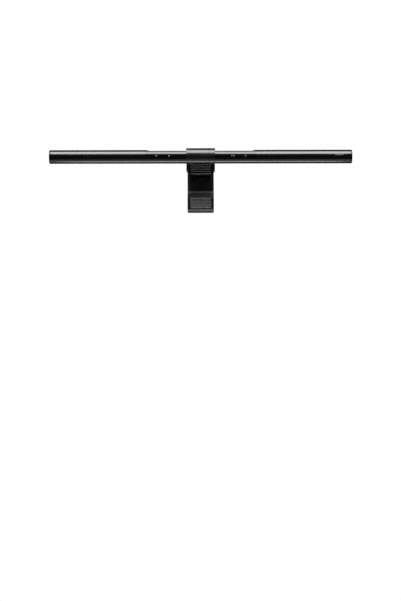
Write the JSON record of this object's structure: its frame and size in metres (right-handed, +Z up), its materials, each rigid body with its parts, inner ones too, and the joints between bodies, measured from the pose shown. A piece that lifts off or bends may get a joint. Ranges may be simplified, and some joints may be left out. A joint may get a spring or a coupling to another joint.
{
  "type": "monitor light bar",
  "caption": "Slim round task lamp on a sprung, counterweighted clip that stands on a screen's top edge; the lamp tilts in a collar and lights the desk.",
  "frame": {"origin": "middle of the seat pad's underside, where the clip stands on the screen's top edge", "axes": "+X along the bar to the user's right, -Y towards the user, +Z up"},
  "size_m": [0.45, 0.0899, 0.092],
  "materials": {
    "anodised_tube": "satin",
    "gloss_cover": "gloss",
    "cap_plastic": "gloss",
    "collar_plastic": "satin",
    "housing_plastic": "satin",
    "liner_plastic": "satin",
    "black_rubber": "matte",
    "lens_plastic": "gloss",
    "diffuser_plastic": "satin",
    "reflector_film": "satin",
    "bare_aluminium": "satin",
    "cast_metal": "satin",
    "plated_steel": "satin",
    "black_steel": "satin",
    "spring_steel": "polished",
    "circuit_board": "satin",
    "white_board": "satin",
    "flex_film": "satin",
    "copper": "satin",
    "chip_plastic": "satin",
    "capacitor_can": "satin",
    "warm_phosphor": "satin",
    "cool_phosphor": "satin",
    "thermal_rubber": "matte",
    "lead_wire": "satin"
  },
  "bodies": {
    "clip": {"collar_shell": "collar_plastic", "collar_liner": "liner_plastic", "cheek_right": "cast_metal", "cheek_left": "cast_metal", "side_cover_right": "collar_plastic", "side_cover_left": "collar_plastic", "collar_screws": "black_steel", "seat_plate": "black_steel", "seat_screws": "plated_steel", "seat_pad": "black_rubber", "front_lip_plate": "black_steel", "lip_screws": "plated_steel", "front_lip_pad": "black_rubber", "hinge_pin": "plated_steel", "spring_sleeve": "liner_plastic", "torsion_spring": "spring_steel"},
    "lamp": {"lamp_tube": "anodised_tube", "end_cap_right": "cap_plastic", "end_cap_left": "cap_plastic", "touch_cover": "gloss_cover", "sensor_lens": "lens_plastic", "light_sensor": "chip_plastic", "touch_flex": "flex_film", "touch_pads": "copper", "diffuser_lens": "diffuser_plastic", "inner_rail": "bare_aluminium", "control_board": "circuit_board", "thermal_pad": "thermal_rubber", "board_screws": "plated_steel", "control_chips": "chip_plastic", "power_inductors": "chip_plastic", "board_capacitors": "capacitor_can", "led_board": "white_board", "warm_leds": "warm_phosphor", "cool_leds": "cool_phosphor", "light_reflector": "reflector_film", "led_leads": "lead_wire", "usb_c_shell": "plated_steel", "usb_c_tongue": "chip_plastic", "port_bezel": "cap_plastic"},
    "rear_arm": {"arm_bracket": "cast_metal", "arm_bushes": "liner_plastic", "counterweight": "plated_steel", "weight_screws": "plated_steel", "arm_front_shell": "housing_plastic", "arm_rear_shell": "housing_plastic", "shell_screws": "plated_steel", "rear_pad": "black_rubber"}
  },
  "joints": [
    {"name": "lamp_tilt", "type": "hinge", "parent": "clip", "child": "lamp", "pos_m": [0, -0.021, 0.0204], "axis": [-1, 0, 0], "range_deg": [-16, 9]},
    {"name": "rear_arm_hinge", "type": "hinge", "parent": "clip", "child": "rear_arm", "pos_m": [0, 0.017, 0.0074], "axis": [1, 0, 0], "range_deg": [-11, 30], "stiffness_Nm_per_rad": 0.2, "springref_deg": -28.65, "deforming": ["torsion_spring"]}
  ]
}
